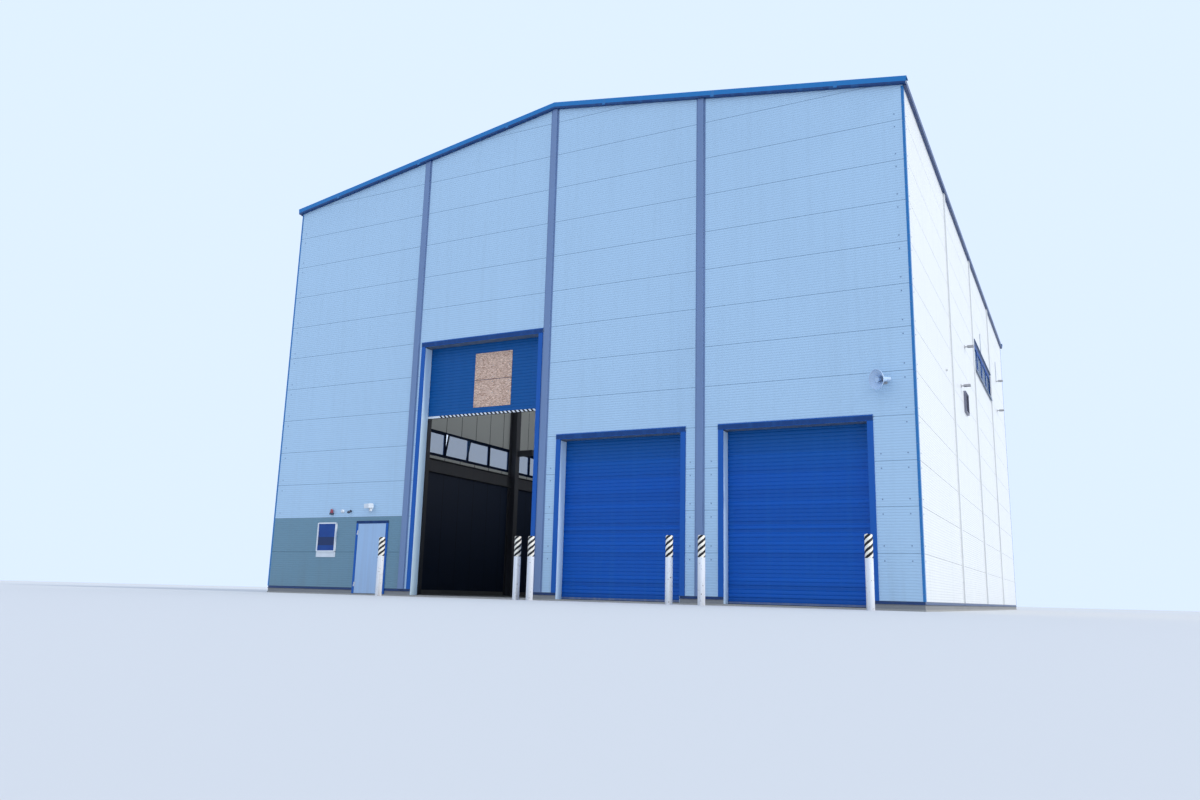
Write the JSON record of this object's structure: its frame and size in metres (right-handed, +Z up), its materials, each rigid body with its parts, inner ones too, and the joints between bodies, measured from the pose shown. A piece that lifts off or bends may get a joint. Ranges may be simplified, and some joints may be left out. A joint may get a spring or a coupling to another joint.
{
  "type": "factory building",
  "caption": "Single-storey steel-framed factory hall clad in horizontal panels, with roller shutters, a hinged side door, strip windows and guard posts.",
  "frame": {"origin": "centre of the footprint, on the ground", "axes": "+X to the right along the front, +Y from the front to the rear, +Z up"},
  "size_m": [19.2823, 26.8848, 13.7901],
  "materials": {
    "concrete": "trowelled concrete, light grey",
    "plinth_concrete": "cast concrete kerb, grey",
    "front_panel": "coated steel sandwich panel, light blue, finely ribbed",
    "dado_panel": "coated steel sandwich panel, grey green, finely ribbed",
    "side_panel": "coated steel sandwich panel, near white, finely ribbed",
    "cover_strip": "folded coated sheet, grey violet",
    "side_strip": "folded coated sheet, near white",
    "blue_flashing": "folded coated sheet, bright blue",
    "dark_flashing": "folded coated sheet, navy",
    "roof_panel": "coated steel roof panel with trapezoid ribs, light grey",
    "frame_steel": "primed structural steel, mid grey",
    "galvanised": "galvanised cold-formed steel",
    "lining": "folded coated sheet, pale blue",
    "blue_trim": "folded coated sheet, deep blue",
    "shutter_blue": "roll-formed coated steel slats, deep blue",
    "bar": "extruded bar with black and white stripes on the raised one",
    "boarding": "pressed strand board, bare",
    "leaf_blue": "coated steel leaf, light blue",
    "hinge_steel": "plain steel",
    "handle_black": "black moulded lever",
    "window_blue": "coated profile, blue",
    "window_glass": "clear insulating glass",
    "notice_white": "white case with a bare blue face",
    "fitting_grey": "light grey moulded housing",
    "horn_grey": "spun sheet, light grey",
    "vent_grey": "folded louvres, grey",
    "guard_white": "white tube with black and pale slanting stripes at the top"
  },
  "bodies": {
    "hall": {"floor_slab": "concrete", "plinth": "plinth_concrete", "base_drips": "dark_flashing", "front_panels_bay_1": "front_panel", "front_panels_bay_2": "front_panel", "front_panels_bay_3": "front_panel", "front_panels_bay_4": "front_panel", "front_dado_panels": "dado_panel", "front_jamb_panels": "front_panel", "rear_wall_panels": "front_panel", "left_wall_panels": "side_panel", "right_wall_panels": "side_panel", "front_cover_strips": "cover_strip", "rear_cover_strips": "cover_strip", "side_cover_strips": "side_strip", "corner_flashings": "blue_flashing", "verge_flashings": "blue_flashing", "eaves_flashings": "dark_flashing", "roof_left": "roof_panel", "roof_right": "roof_panel", "ridge_cap": "blue_flashing", "purlins": "galvanised", "left_columns": "frame_steel", "right_columns": "frame_steel", "rafters": "frame_steel", "front_gable_posts": "frame_steel", "rear_gable_posts": "frame_steel", "wall_rails": "frame_steel", "doorway_posts": "frame_steel", "doorway_linings": "lining", "doorway_trims": "blue_trim", "shutter_guides": "galvanised", "tall_shutter": "shutter_blue", "middle_shutter": "shutter_blue", "right_shutter": "shutter_blue", "shutter_bars": "bar", "shutter_brackets": "galvanised", "boarding": "boarding", "side_door_frame": "blue_trim", "side_door_pins": "hinge_steel", "window_frames": "window_blue", "window_casements": "window_blue", "window_glass": "window_glass", "window_sills": "window_blue", "notice_board": "notice_white", "door_lamp": "fitting_grey", "wall_sensors": "fitting_grey", "horn_speaker": "horn_grey", "side_vent": "vent_grey", "side_lamps": "fitting_grey", "guard_posts": "guard_white"},
    "side_door": {"side_door_leaf": "leaf_blue", "side_door_hinges": "hinge_steel", "side_door_handles": "handle_black"}
  },
  "joints": [
    {"name": "side_door_swing", "type": "hinge", "parent": "hall", "child": "side_door", "pos_m": [-6.0685, -12.881, 1], "axis": [0, 0, -1], "range_deg": [0, 100]}
  ]
}
